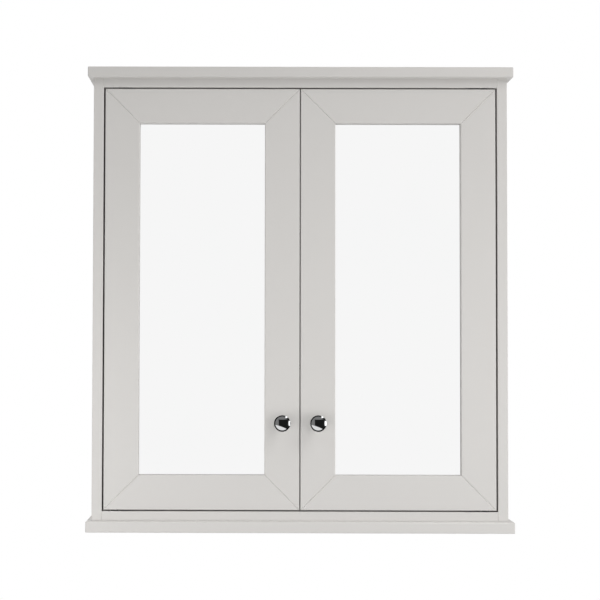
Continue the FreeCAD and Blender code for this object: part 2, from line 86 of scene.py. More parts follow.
def blendColour(tree, factor, first, second):
    # the first colour where the factor is 0, the second where it is 1
    node = addNode(tree, "Mix", data_type="RGBA")
    feed(tree, factor, node.inputs["Factor"])
    feed(tree, first, node.inputs["A"])
    feed(tree, second, node.inputs["B"])
    return node.outputs["Result"]


def layer(tree, under, level, mask):
    # a level laid over another where the mask is 1
    node = addNode(tree, "Mix", {"Factor": mask}, data_type="FLOAT")
    feed(tree, under, node.inputs[2])
    feed(tree, level, node.inputs[3])
    return node.outputs[0]


def noise(tree, where, scale, detail, roughness=0.55):
    # cloudy noise from 0 to 1
    node = addNode(tree, "TexNoise", {"Vector": where, "Scale": scale, "Detail": detail,
                                      "Roughness": roughness})
    return node.outputs["Fac"]


def newGroup(name, inputs, outputs):
    # an empty shared effect with named sockets
    group = bpy.data.node_groups.new(name, "ShaderNodeTree")
    for label, kind, start in inputs:
        socket = group.interface.new_socket(label, in_out="INPUT", socket_type="NodeSocket" + kind)
        socket.default_value = start
    for label, kind in outputs:
        group.interface.new_socket(label, in_out="OUTPUT", socket_type="NodeSocket" + kind)
    return group, group.nodes.new("NodeGroupInput"), group.nodes.new("NodeGroupOutput")


# a sprayed or moulded skin: fine stipple, soft blotches of tone and an uneven sheen
skinNoise = {"broadScale": 9.0, "broadDetail": 2.0, "broadShare": 0.7, "fineScale": 160.0, "fineDetail": 4.0,
             "fineShare": 0.3, "middle": 0.5, "stippleDetail": 2.0, "stippleRoughness": 0.5}


def makeSkinGroup():
    # tone is 1 plus the noise's swing about its middle, and roughness rises from low to high with fine noise
    group, entry, leave = newGroup(
        "evenSkin",
        [("Color", "Color", (0.5, 0.5, 0.5, 1)), ("Blotch", "Float", 0.03), ("Stipple Scale", "Float", 900),
         ("Rough Low", "Float", 0.35), ("Rough High", "Float", 0.45)],
        [("Color", "Color"), ("Roughness", "Float"), ("Height", "Float")])
    where = addNode(group, "TexCoord").outputs["Object"]
    broad = noise(group, where, skinNoise["broadScale"], skinNoise["broadDetail"])
    fine = noise(group, where, skinNoise["fineScale"], skinNoise["fineDetail"])
    stipple = noise(group, where, entry.outputs["Stipple Scale"], skinNoise["stippleDetail"],
                    skinNoise["stippleRoughness"])
    swing = arithmetic(group, "ADD", arithmetic(group, "MULTIPLY", broad, skinNoise["broadShare"]),
                       arithmetic(group, "MULTIPLY", fine, skinNoise["fineShare"]))
    lift = arithmetic(group, "MULTIPLY", arithmetic(group, "SUBTRACT", swing, skinNoise["middle"]),
                      entry.outputs["Blotch"])
    value = arithmetic(group, "ADD", lift, 1.0)
    tone = addNode(group, "HueSaturation", {"Value": value, "Color": entry.outputs["Color"]})
    spread = arithmetic(group, "SUBTRACT", entry.outputs["Rough High"], entry.outputs["Rough Low"])
    rough = arithmetic(group, "MULTIPLY_ADD", fine, spread, entry.outputs["Rough Low"])
    group.links.new(tone.outputs["Color"], leave.inputs["Color"])
    group.links.new(rough, leave.inputs["Roughness"])
    group.links.new(stipple, leave.inputs["Height"])
    return group


# wood fibres: noise drawn out along one axis, with broad bands of growth
fibreNoise = {"hairScale": 60.0, "hairDetail": 6.0, "hairRoughness": 0.65, "hairShare": 0.6,
              "growthScale": 7.0, "growthDetail": 2.0, "growthRoughness": 0.4, "growthShare": 0.3,
              "ringScale": 4.6, "ringDistortion": 11.0, "ringDetail": 2.0, "ringDetailScale": 0.45,
              "toneEdges": (0.2, 0.95), "roughness": (0.72, 0.52), "roughEdges": (0.3, 0.7)}


def makeFibreGroup():
    # hairs, growth and rings added up choose a tone from dark to light, and light hairs are smoother
    group, entry, leave = newGroup(
        "woodFibres",
        [("Light", "Color", (0.6, 0.4, 0.2, 1)), ("Dark", "Color", (0.3, 0.2, 0.1, 1)),
         ("Stretch", "Vector", (1, 12, 12)), ("Bands", "Float", 0.5)],
        [("Color", "Color"), ("Roughness", "Float"), ("Height", "Float")])
    where = addNode(group, "TexCoord").outputs["Object"]
    drawn = addNode(group, "VectorMath", {0: where, 1: entry.outputs["Stretch"]}, operation="MULTIPLY")
    hairs = noise(group, drawn.outputs[0], fibreNoise["hairScale"], fibreNoise["hairDetail"],
                  fibreNoise["hairRoughness"])
    growth = noise(group, drawn.outputs[0], fibreNoise["growthScale"], fibreNoise["growthDetail"],
                   fibreNoise["growthRoughness"])
    rings = addNode(group, "TexWave", {"Vector": drawn.outputs[0], "Scale": fibreNoise["ringScale"],
                                       "Distortion": fibreNoise["ringDistortion"],
                                       "Detail": fibreNoise["ringDetail"],
                                       "Detail Scale": fibreNoise["ringDetailScale"]},
                    wave_type="BANDS", bands_direction="Z", wave_profile="SAW")
    banded = arithmetic(group, "MULTIPLY", rings.outputs["Fac"], entry.outputs["Bands"])
    mixed = arithmetic(group, "ADD", arithmetic(group, "MULTIPLY", hairs, fibreNoise["hairShare"]),
                       arithmetic(group, "MULTIPLY", growth, fibreNoise["growthShare"]))
    share = ramp(group, arithmetic(group, "ADD", mixed, banded), 0.0, 1.0, *fibreNoise["toneEdges"])
    group.links.new(blendColour(group, share, entry.outputs["Dark"], entry.outputs["Light"]),
                    leave.inputs["Color"])
    group.links.new(ramp(group, hairs, *fibreNoise["roughness"], *fibreNoise["roughEdges"]),
                    leave.inputs["Roughness"])
    group.links.new(hairs, leave.inputs["Height"])
    return group


# handling marks: a clean polish broken by faint cloudy smears
smears = {"detail": 5.0, "roughness": 0.6, "edges": (0.48, 0.78)}


def makePolishGroup():
    # the mask is the brighter part of a cloud, and roughness runs from clean to smeared with it
    group, entry, leave = newGroup(
        "handledPolish",
        [("Clean", "Float", 0.02), ("Smeared", "Float", 0.08), ("Scale", "Float", 20)],
        [("Roughness", "Float"), ("Mask", "Float")])
    where = addNode(group, "TexCoord").outputs["Object"]
    cloud = noise(group, where, entry.outputs["Scale"], smears["detail"], smears["roughness"])
    mask = ramp(group, cloud, 0.0, 1.0, *smears["edges"])
    spread = arithmetic(group, "SUBTRACT", entry.outputs["Smeared"], entry.outputs["Clean"])
    rough = arithmetic(group, "MULTIPLY_ADD", mask, spread, entry.outputs["Clean"])
    group.links.new(rough, leave.inputs["Roughness"])
    group.links.new(mask, leave.inputs["Mask"])
    return group


evenSkin = makeSkinGroup()
woodFibres = makeFibreGroup()
handledPolish = makePolishGroup()
print("shared effects:", len(bpy.data.node_groups))


# materials
def newMaterial(name, sockets):
    # a plain surface shader with some of its own sockets set
    material = bpy.data.materials.new(name)
    material.use_nodes = True
    tree = material.node_tree
    tree.nodes.clear()
    output = tree.nodes.new("ShaderNodeOutputMaterial")
    shader = tree.nodes.new("ShaderNodeBsdfPrincipled")
    tree.links.new(shader.outputs["BSDF"], output.inputs["Surface"])
    for label, value in sockets.items():
        shader.inputs[label].default_value = value
    return material, tree, shader


def outputOf(tree):
    # the output node of a material
    return next(node for node in tree.nodes if node.type == "OUTPUT_MATERIAL")


def useGroup(tree, group, values):
    # a shared effect placed with its own values
    node = tree.nodes.new("ShaderNodeGroup")
    node.node_tree = group
    for label, value in values.items():
        node.inputs[label].default_value = value
    return node


def usePolish(tree, shader, look):
    # handling marks on the roughness, and their mask
    polish = useGroup(tree, handledPolish, {"Clean": look["clean"], "Smeared": look["smeared"],
                                            "Scale": look["scale"]})
    tree.links.new(polish.outputs["Roughness"], shader.inputs["Roughness"])
    return polish.outputs["Mask"]


def dress(tree, shader, source, relief):
    # colour, roughness and relief of a surface from one group
    tree.links.new(source.outputs["Color"], shader.inputs["Base Color"])
    tree.links.new(source.outputs["Roughness"], shader.inputs["Roughness"])
    bump = addNode(tree, "Bump", {"Height": source.outputs["Height"], "Distance": relief, "Strength": 1.0})
    tree.links.new(bump.outputs["Normal"], shader.inputs["Normal"])


# painted and moulded surfaces
paint = {"colour": (0.601, 0.586, 0.567, 1),   # warm light grey
         "blotch": 0.035, "stippleScale": 750, "roughLow": 0.36, "roughHigh": 0.46, "relief": 0.00004,
         "specular": 0.45}
plastic = {"colour": (0.8, 0.8, 0.775, 1), "blotch": 0.03, "stippleScale": 2600, "roughLow": 0.4,
           "roughHigh": 0.55, "relief": 0.00006, "specular": 0.5}
nylon = {"colour": (0.028, 0.028, 0.03, 1), "blotch": 0.06, "stippleScale": 1800, "roughLow": 0.45,
         "roughHigh": 0.6, "relief": 0.00004, "specular": 0.5}


def makeSkinned(name, look):
    # one colour under the even skin
    material, tree, shader = newMaterial(name, {"Specular IOR Level": look["specular"]})
    skin = useGroup(tree, evenSkin, {"Color": look["colour"], "Blotch": look["blotch"],
                                     "Stipple Scale": look["stippleScale"], "Rough Low": look["roughLow"],
                                     "Rough High": look["roughHigh"]})
    dress(tree, shader, skin, look["relief"])
    return material


# bare wood and board
timber = {"light": (0.66, 0.47, 0.28, 1), "dark": (0.42, 0.26, 0.13, 1), "stretch": (0.6, 9, 9),
          "bands": 0.3, "relief": 0.00012, "specular": 0.3}
beech = {"light": (0.66, 0.47, 0.31, 1), "dark": (0.5, 0.33, 0.2, 1), "stretch": (3, 20, 20),
         "bands": 0.1, "relief": 0.00008, "specular": 0.3}
hardboard = {"light": (0.35, 0.22, 0.125, 1), "dark": (0.225, 0.135, 0.075, 1), "stretch": (26, 26, 20),
             "bands": 0.04, "relief": 0.00006, "specular": 0.3}


def makeFibrous(name, look):
    # two tones under the wood fibres
    material, tree, shader = newMaterial(name, {"Specular IOR Level": look["specular"]})
    fibres = useGroup(tree, woodFibres, {"Light": look["light"], "Dark": look["dark"],
                                         "Stretch": look["stretch"], "Bands": look["bands"]})
    dress(tree, shader, fibres, look["relief"])
    return material


# mirrors
mirror = {"silver": (0.922, 0.922, 0.922, 1), "misted": (0.914, 0.917, 0.918, 1), "scale": 5}


def makeMirror():
    # exact polish, whose silver is a little duller in broad faint clouds
    material, tree, shader = newMaterial("silveredGlass", {"Metallic": 1.0, "Roughness": 0.0})
    polish = useGroup(tree, handledPolish, {"Scale": mirror["scale"]})
    tree.links.new(blendColour(tree, polish.outputs["Mask"], mirror["silver"], mirror["misted"]),
                   shader.inputs["Base Color"])
    return material


# chrome, zinc plate and magnet steel
chrome = {"plate": (0.86, 0.865, 0.875, 1), "clean": 0.015, "smeared": 0.06, "scale": 90}
zinc = {"bright": (0.68, 0.69, 0.71, 1), "dull": (0.56, 0.555, 0.53, 1), "clean": 0.32, "smeared": 0.5,
        "scale": 120, "metallic": 0.8}
magnet = {"bright": (0.3, 0.3, 0.31, 1), "dull": (0.17, 0.165, 0.16, 1), "clean": 0.32, "smeared": 0.55,
          "scale": 260, "metallic": 1.0}


def makeChrome():
    # bright plate with handling marks
    material, tree, shader = newMaterial("polishedChrome", {"Metallic": 1.0, "Base Color": chrome["plate"]})
    usePolish(tree, shader, chrome)
    return material


def makePlated(name, look):
    # metal that is bright where it is clean and dull where it is smeared
    material, tree, shader = newMaterial(name, {"Metallic": look["metallic"]})
    mask = usePolish(tree, shader, look)
    tree.links.new(blendColour(tree, mask, look["bright"], look["dull"]), shader.inputs["Base Color"])
    return material


# shelf glass
shelfGlass = {"tint": (0.965, 0.99, 0.98, 1), "clean": 0.0, "smeared": 0.03, "scale": 10, "ior": 1.52,
              "depthTint": (0.42, 0.86, 0.68, 1), "density": 3.5}


def makeShelfGlass():
    # clear glass that takes up colour with its depth, so its edges look green
    material, tree, shader = newMaterial("shelfGlass", {"Base Color": shelfGlass["tint"],
                                                        "Transmission Weight": 1.0, "IOR": shelfGlass["ior"]})
    usePolish(tree, shader, shelfGlass)
    depth = addNode(tree, "VolumeAbsorption", {"Color": shelfGlass["depthTint"],
                                               "Density": shelfGlass["density"]})
    tree.links.new(depth.outputs["Volume"], outputOf(tree).inputs["Volume"])
    return material


finishes = {
    "painted_timber": makeSkinned("satinPaint", paint),
    "bare_timber": makeFibrous("softwood", timber),
    "beech_dowel": makeFibrous("beechDowel", beech),
    "hardboard": makeFibrous("hardboard", hardboard),
    "silvered_mirror": makeMirror(),
    "shelf_glass": makeShelfGlass(),
    "chrome_knob": makeChrome(),
    "zinc_steel": makePlated("zincPlate", zinc),
    "magnet_steel": makePlated("magnetSteel", magnet),
    "white_plastic": makeSkinned("catchPlastic", plastic),
    "nylon": makeSkinned("washerNylon", nylon),
}
for part in frame["record"]["subparts"]:
    for holder in nodes[part["node"]].material_slots:
        holder.material = finishes[part["material_slot"]]
print("finishes:", len(finishes))


# mesh helpers
def gridFaces(rows, columns):
    # quads of a grid whose columns run round in a ring
    row, column = np.meshgrid(np.arange(rows - 1), np.arange(columns), indexing="ij")
    after = (column + 1) % columns
    quads = [row * columns + column, row * columns + after, (row + 1) * columns + after,
             (row + 1) * columns + column]
    return np.stack(quads, -1).reshape(-1, 4)


def profileOf(rows):
    # runs of points one after another
    return np.concatenate([np.asarray(run, float) for run in rows])


def arc(centre, radius, start, stop, count):
    # points of an arc, angles in degrees
    angle = np.radians(np.linspace(start, stop, count))
    return np.stack([centre[0] + radius * np.cos(angle), centre[1] + radius * np.sin(angle)], -1)


def arcBetween(start, stop, radius, side, count):
    # arc of a given radius from one point to another, bulging to one side
    start = np.array(start, float)
    stop = np.array(stop, float)
    chord = stop - start
    length = np.hypot(*chord)
    normal = np.array([-chord[1], chord[0]]) / length
    centre = (start + stop) / 2 - side * normal * math.sqrt(radius ** 2 - (length / 2) ** 2)
    first = math.degrees(math.atan2(*(start - centre)[::-1]))
    last = math.degrees(math.atan2(*(stop - centre)[::-1]))
    sweep = (last - first + 180) % 360 - 180
    return arc(centre, radius, first, first + sweep, count)


def turned(profile, segments):
    # a profile of radius and height, turned about the Z axis
    angle = np.linspace(0, 2 * np.pi, segments, endpoint=False)
    radius = profile[:, :1]
    height = np.broadcast_to(profile[:, 1:], (len(profile), segments))
    points = np.stack([radius * np.cos(angle), radius * np.sin(angle), height], -1)
    return points.reshape(-1, 3), gridFaces(len(profile), segments)


def aim(points, direction):
    # points about the Z axis turned to point along another axis
    turn = np.array(Vector((0, 0, 1)).rotation_difference(direction).to_matrix())
    return points @ turn.T


def copies(shape, seats):
    # one shape of points and quads set down at every seat
    points, faces = shape
    seats = np.asarray(seats, float)
    spread = points[None] + seats[:, None]
    starts = np.arange(len(seats)) * len(points)
    return spread.reshape(-1, 3), (faces[None] + starts[:, None, None]).reshape(-1, 4)


def join(first, second):
    # two shapes of points and quads as one
    points = np.concatenate([first[0], second[0]])
    return points, np.concatenate([first[1], second[1] + len(first[0])])


meshing = {"weld": 1e-7, "sharpAngle": 35}


def makePiece(name, shape, body, slotName, *replaced):
    # a mesh piece in its place, with poles closed, standing for CAD nodes
    points, faces = shape
    mesh = bpy.data.meshes.new(name)
    mesh.from_pydata(points.tolist(), [], faces if isinstance(faces, list) else faces.tolist())
    work = bmesh.new()
    work.from_mesh(mesh)
    bmesh.ops.remove_doubles(work, verts=work.verts, dist=meshing["weld"])
    bmesh.ops.recalc_face_normals(work, faces=work.faces)
    work.to_mesh(mesh)
    work.free()
    mesh.shade_smooth()
    mesh.set_sharp_from_angle(angle=math.radians(meshing["sharpAngle"]))
    mesh.materials.append(finishes[slotName])
    piece = bpy.data.objects.new(name, mesh)
    bpy.context.scene.collection.objects.link(piece)
    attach(piece, body)
    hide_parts(*replaced)


# overhanging boards: an outline that shrinks round the front and the ends as a rounded edge rises
boards = {"lowRound": 2.6, "ease": 1.2, "corner": 1.6, "arcSteps": 9, "guard": 0.4}


def roundedEdge(height, lower, upper, guard, steps):
    # inset and height of an edge: lower arc, straight face, upper arc, with guard rows beside the flats
    rise = arc((lower, lower), lower, 270, 180, steps)
    fall = arc((upper, height - upper), upper, 180, 90, steps)
    return profileOf([[(lower + guard, 0)], rise, [(0, lower + guard), (0, height - upper - guard)], fall,
                      [(upper + guard, height)]])


def slabShape(low, high, edge, corner, steps, squareBack):
    # closed slab: the edge's inset carried round an outline with round corners, capped above and below
    quarters = ((1, 1, 0), (-1, 1, 90), (-1, -1, 180), (1, -1, 270))
    middle = (np.array(low) + np.array(high)) / 2
    half = (np.array(high) - np.array(low)) / 2
    inset = edge[:, :1]
    columns = []
    for signX, signY, start in quarters:
        if squareBack and signY > 0:
            across = middle[0] + signX * (half[0] - inset)
            columns.append(np.stack([across, np.full_like(across, high[1])], -1))
            continue
        angle = np.radians(np.linspace(start, start + 90, steps))
        radius = np.maximum(corner - inset, 0)
        pull = np.maximum(corner, inset)
        across = middle[0] + signX * (half[0] - pull) + radius * np.cos(angle)
        along = middle[1] + signY * (half[1] - pull) + radius * np.sin(angle)
        columns.append(np.stack([across, along], -1))
    ring = np.concatenate(columns, 1)
    height = np.broadcast_to(low[2] + edge[:, 1:], ring.shape[:2])
    points = np.concatenate([ring, height[..., None]], -1)
    rows, count = ring.shape[:2]
    faces = gridFaces(rows, count).tolist()
    faces.append(list(range(count))[::-1])
    faces.append(list(range((rows - 1) * count, rows * count)))
    return points.reshape(-1, 3), faces


def makeBoard(node, lower, upper):
    # a slab with a square back, rounded along its front and its ends
    low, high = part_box(node)
    edge = roundedEdge(high.z - low.z, lower * milli, upper * milli, boards["guard"] * milli,
                       boards["arcSteps"])
    shape = slabShape(low, high, edge, boards["corner"] * milli, boards["arcSteps"], True)
    makePiece(node + "_rounded", shape, "case", "painted_timber", node)


makeBoard("top_board", boards["lowRound"], boards["ease"])
makeBoard("base_board", boards["ease"], boards["lowRound"])
print("boards made")

# glass shelves with polished edges and corners
shelf = {"polish": 0.8, "corner": 3.0, "arcSteps": 5, "cornerSteps": 10, "guard": 0.2}


def makeShelf(node):
    # a slab rounded all round
    low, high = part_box(node)
    edge = roundedEdge(high.z - low.z, shelf["polish"] * milli, shelf["polish"] * milli,
                       shelf["guard"] * milli, shelf["arcSteps"])
    shape = slabShape(low, high, edge, shelf["corner"] * milli, shelf["cornerSteps"], False)
    makePiece(node + "_polished", shape, "case", "shelf_glass", node)


makeShelf("upper_shelf")
makeShelf("lower_shelf")
print("shelves made")

# knobs, turned: rose, neck, flared back, rim with a ring step, domed face
knob = {"rose": 7.0, "roseHeight": 2.0, "roseEase": 0.2, "neck": 4.75, "neckTop": 8.0, "head": 12.5,
        "headLow": 15.0, "headHigh": 18.0, "step": 1.5, "dome": 3.5, "flare": 9.0, "flareBack": 0.1,
        "soften": 0.5, "softSteps": 6, "rimSoften": 0.3, "rimSlope": 45, "rimSteps": 5, "flareSteps": 18,
        "domeSteps": 28, "segments": 128}
outward = Vector((0, -1, 0))


def knobProfile():
    # radius and height from the door outwards: arcs soften the corners, and one arc each makes flare and dome
    soft = knob["soften"]
    rim = knob["rimSoften"]
    slope = knob["rimSlope"]
    ease = knob["roseEase"]
    rimDrop = rim * math.tan(math.radians(slope / 2))
    face = knob["head"] - knob["step"]
    faceHeight = knob["headHigh"] + knob["step"]
    domeRadius = (face ** 2 + knob["dome"] ** 2) / (2 * knob["dome"])
    return profileOf([
        [(0, 0), (knob["rose"] - ease, 0), (knob["rose"], ease)],
        arc((knob["rose"] - soft, knob["roseHeight"] - soft), soft, 0, 90, knob["softSteps"]),
        [(knob["neck"] + soft, knob["roseHeight"])],
        arc((knob["neck"] + soft, knob["roseHeight"] + soft), soft, 270, 180, knob["softSteps"]),
        arcBetween((knob["neck"], knob["neckTop"]), (knob["head"] - knob["flareBack"], knob["headLow"]),
                   knob["flare"], -1, knob["flareSteps"]),
        arc((knob["head"] - soft, knob["headLow"] + soft), soft, -slope, 0, knob["rimSteps"]),
        arc((knob["head"] - rim, knob["headHigh"] - rimDrop), rim, 0, slope, knob["rimSteps"]),
        arcBetween((face, faceHeight), (0, faceHeight + knob["dome"]), domeRadius, -1, knob["domeSteps"]),
    ]) * milli


def makeKnob(side):
    # the turned profile set on the front of the door
    node = side + "_knob"
    low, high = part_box(node)
    points, faces = turned(knobProfile(), knob["segments"])
    seat = ((low.x + high.x) / 2, high.y, (low.z + high.z) / 2)
    makePiece(side + "_knob_turned", copies((aim(points, outward), faces), [seat]), side + "_door",
              "chrome_knob", node)


for side in ("left", "right"):
    makeKnob(side)
print("knobs made")

# screws, turned, with a cross sunk into the head
woodScrew = {"head": 3.5, "shank": 1.75, "cone": 1.75, "rim": 0.2, "point": 4.0, "plateLength": 11.0,
             "platePitch": 9.0, "arm": 2.0, "armHalf": 0.42, "depth": 1.1, "taper": 0.6}
strikeScrew = {"head": 2.8, "shank": 1.5, "headHeight": 1.4, "point": 3.5, "arm": 1.5, "armHalf": 0.34,
               "depth": 0.8, "taper": 0.6}
knobScrew = {"head": 4.0, "shank": 2.0, "headHeight": 2.2, "point": 0.4, "arm": 2.1, "armHalf": 0.45,
             "depth": 1.3, "taper": 0.6}
panHead = {"browIn": 0.3, "browFrom": 0.3, "browSteps": 7, "edge": 0.1}   # first two as parts of the head
crossSteps = {"end": 2, "side": 4}
facing = {"up": Vector((0, 0, 1)), "down": Vector((0, 0, -1)), "inward": Vector((0, 1, 0))}


def crossAngles(arm, half):
    # angles round a cross, its corners among them: an eighth turn, mirrored and repeated
    corner = math.atan2(half, arm)
    eighth = np.concatenate([np.linspace(0, corner, crossSteps["end"], endpoint=False),
                             np.linspace(corner, np.pi / 4, crossSteps["side"], endpoint=False)])
    quarter = np.concatenate([eighth, [np.pi / 4], np.pi / 2 - eighth[:0:-1]])
    return (quarter + np.arange(4)[:, None] * np.pi / 2).ravel()


def crossReach(angle, arm, half):
    # distance from the middle to the edge of two crossed bars
    tiny = 1e-9
    across = np.maximum(np.abs(np.cos(angle)), tiny)
    along = np.maximum(np.abs(np.sin(angle)), tiny)
    level = np.minimum(half / along, arm / across)
    upright = np.minimum(half / across, arm / along)
    return np.maximum(level, upright)


def crossHeaded(profile, look):
    # a profile of radius and height turned about Z, then the walls and floor of a cross sunk into its top
    angle = crossAngles(look["arm"], look["armHalf"])
    edge = crossReach(angle, look["arm"], look["armHalf"])
    top = profile[-1, 1]
    floor = top - look["depth"]
    body = np.repeat(profile[:, :1], len(angle), 1)
    radius = np.concatenate([body, [edge, edge * look["taper"], edge * 0]])
    height = np.concatenate([profile[:, 1], [top, floor, floor]])[:, None]
    height = np.broadcast_to(height, radius.shape)
    points = np.stack([radius * np.cos(angle), radius * np.sin(angle), height], -1)
    return points.reshape(-1, 3) * milli, gridFaces(len(radius), len(angle))


def woodScrewShape(length):
    # point, shank, cone and flat top, which lies at height 0
    head, shank, cone, rim = (woodScrew[key] for key in ("head", "shank", "cone", "rim"))
    profile = [(0, -length), (shank, woodScrew["point"] - length), (shank, -cone), (head, -rim),
               (head, -rim / 2), (head - rim / 2, 0)]
    return crossHeaded(np.array(profile), woodScrew)


def panScrewShape(look, length):
    # point and shank below height 0, and above it a head whose brow curves over to a flat top
    head, shank = look["head"], look["shank"]
    start, edge = panHead["browFrom"], panHead["edge"]
    turn = np.linspace(0, 1, panHead["browSteps"])[:, None]
    reach = head * (1 - panHead["browIn"] * turn ** 2)
    rise = look["headHeight"] * (start + (1 - start) * (1 - (1 - turn) ** 2))
    foot = [(0, -length), (shank, look["point"] - length), (shank, 0), (head - edge, 0), (head, edge)]
    return crossHeaded(profileOf([foot, np.concatenate([reach, rise], 1)]), look)


def screwSeats(node, level, pitch=None):
    # middles of the heads in a node's box: one at each corner, and one a pitch further in at each end
    low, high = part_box(node)
    head = woodScrew["head"] * milli
    across = {low.x + head, high.x - head}
    if pitch:
        across |= {low.x + head + pitch * milli, high.x - head - pitch * milli}
    deep = {round(low.y + head, 5), round(high.y - head, 5)}   # a single row counts once
    return [(x, y, level) for x in sorted(across) for y in sorted(deep)]


def makeDeckScrews(node, way, pitch=None):
    # wood screws through one deck, their heads towards the opening
    low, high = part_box(node)
    points, faces = woodScrewShape((high.z - low.z) / milli)
    seats = screwSeats(node, high.z if way == "up" else low.z, pitch)
    makePiece(node + "_turned", copies((aim(points, facing[way]), faces), seats), "case", "zinc_steel", node)


def makeSocketScrews(side):
    # wood screws into both ends of a door, their heads outwards
    node = side + "_pivot_socket_screws"
    low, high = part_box(node)
    points, faces = woodScrewShape(woodScrew["plateLength"])
    ends = [copies((aim(points, facing[way]), faces), screwSeats(node, level))
            for way, level in (("up", high.z), ("down", low.z))]
    makePiece(node + "_turned", join(*ends), side + "_door", "zinc_steel", node)


def makePanScrew(node, look, side):
    # a screw from behind into a door, its head inwards
    low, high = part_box(node)
    length = (high.y - low.y) / milli - look["headHeight"]
    points, faces = panScrewShape(look, length)
    seat = ((low.x + high.x) / 2, high.y - look["headHeight"] * milli, (low.z + high.z) / 2)
    makePiece(node + "_turned", copies((aim(points, facing["inward"]), faces), [seat]), side + "_door",
              "zinc_steel", node)


makeDeckScrews("top_board_screws", "down")
makeDeckScrews("base_board_screws", "up")
makeDeckScrews("catch_screws", "down")
makeDeckScrews("upper_pivot_plate_screws", "down", woodScrew["platePitch"])
makeDeckScrews("lower_pivot_plate_screws", "up", woodScrew["platePitch"])
for side in ("left", "right"):
    makeSocketScrews(side)
    makePanScrew(side + "_strike_screw", strikeScrew, side)
    makePanScrew(side + "_knob_screw", knobScrew, side)
print("screws made")

# shelf pins, turned: rounded end, collar against the panel, shank in its hole
pin = {"shank": 2.5, "collar": 4.5, "collarWidth": 1.5, "edge": 0.1, "out": 8.0, "into": 9.0, "soften": 0.45,
       "arcSteps": 5, "segments": 40}


def pinShape():
    # profile of radius and height about Z, with height 0 at the panel's face and the hole above it
    shank, collar, soft, steps = (pin[key] for key in ("shank", "collar", "soften", "arcSteps"))
    foot = -pin["collarWidth"]
    edge = pin["edge"]
    profile = profileOf([
        [(0, -pin["out"])],
        arc((shank - soft, soft - pin["out"]), soft, 270, 360, steps),
        [(shank, foot)],
        arc((collar - soft, foot + soft), soft, 270, 360, steps),
        [(collar, -edge), (collar - edge, 0), (shank, 0), (shank, pin["into"] - soft)],
        [(shank - soft, pin["into"]), (0, pin["into"])],
    ])
    return turned(profile * milli, pin["segments"])


def makePins(node):
    # one pin at each corner of a side panel's part of the node's box
    low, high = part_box(node)
    collar = pin["collar"] * milli
    points, faces = pinShape()
    rows = []
    for face, way in ((low.x + pin["into"] * milli, -1), (high.x - pin["into"] * milli, 1)):
        seats = [(face, y, z) for y in (low.y + collar, high.y - collar)
                 for z in (low.z + collar, high.z - collar)]
        rows.append(copies((aim(points, Vector((way, 0, 0))), faces), seats))
    makePiece(node + "_turned", join(*rows), "case", "zinc_steel", node)


makePins("shelf_pins")
print("shelf pins made")

# floor, well below a cabinet that hangs on a wall, fading into the backdrop towards its rim
floorLook = {"height": -1.32, "radius": 2.6, "fade": (1.3, 2.5), "rings": 8, "segments": 96,
             "colour": (0.82, 0.82, 0.815, 1), "roughness": 0.8, "veil": 0.5}


def product(tree, *masks):
    # masks multiplied together
    result = masks[0]
    for mask in masks[1:]:
        result = arithmetic(tree, "MULTIPLY", result, mask)
    return result


def seenByPolish(tree, path):
    # 1 for a reflection in metal or paint that isn't an exact mirror, unless it only lights a dull surface
    blurred = arithmetic(tree, "SUBTRACT", 1.0, path.outputs["Is Singular Ray"])
    seen = arithmetic(tree, "LESS_THAN", path.outputs["Diffuse Depth"], 0.5)   # no dull bounce before
    return product(tree, path.outputs["Is Glossy Ray"], blurred, seen)


def makeFloor():
    # a flat disc, clear from below, half clear to the camera and clearer with the distance from its middle
    radius = np.linspace(floorLook["radius"], 0, floorLook["rings"])
    profile = np.stack([radius, np.full_like(radius, floorLook["height"])], -1)
    points, faces = turned(profile, floorLook["segments"])
    mesh = bpy.data.meshes.new("floor")
    mesh.from_pydata(points.tolist(), [], faces.tolist())
    material, tree, shader = newMaterial("paleFloor", {"Base Color": floorLook["colour"],
                                                       "Roughness": floorLook["roughness"]})
    spot = addNode(tree, "SeparateXYZ", {"Vector": addNode(tree, "TexCoord").outputs["Object"]})
    flat = addNode(tree, "CombineXYZ", {"X": spot.outputs["X"], "Y": spot.outputs["Y"]})
    reach = addNode(tree, "VectorMath", {0: flat.outputs[0]}, operation="LENGTH")
    fade = ramp(tree, reach.outputs["Value"], 0.0, 1.0, *floorLook["fade"])
    under = addNode(tree, "NewGeometry").outputs["Backfacing"]
    path = addNode(tree, "LightPath")
    pale = arithmetic(tree, "MULTIPLY", path.outputs["Is Camera Ray"], floorLook["veil"])
    unseen = arithmetic(tree, "MAXIMUM", under, seenByPolish(tree, path))
    hidden = arithmetic(tree, "MAXIMUM", layer(tree, fade, 1.0, pale), unseen)
    clear = addNode(tree, "BsdfTransparent")
    blend = addNode(tree, "MixShader", {"Fac": hidden})
    tree.links.new(shader.outputs["BSDF"], blend.inputs[1])
    tree.links.new(clear.outputs["BSDF"], blend.inputs[2])
    tree.links.new(blend.outputs[0], outputOf(tree).inputs["Surface"])
    mesh.materials.append(material)
    floor = bpy.data.objects.new("floor", mesh)
    bpy.context.scene.collection.objects.link(floor)


makeFloor()
print("floor made")

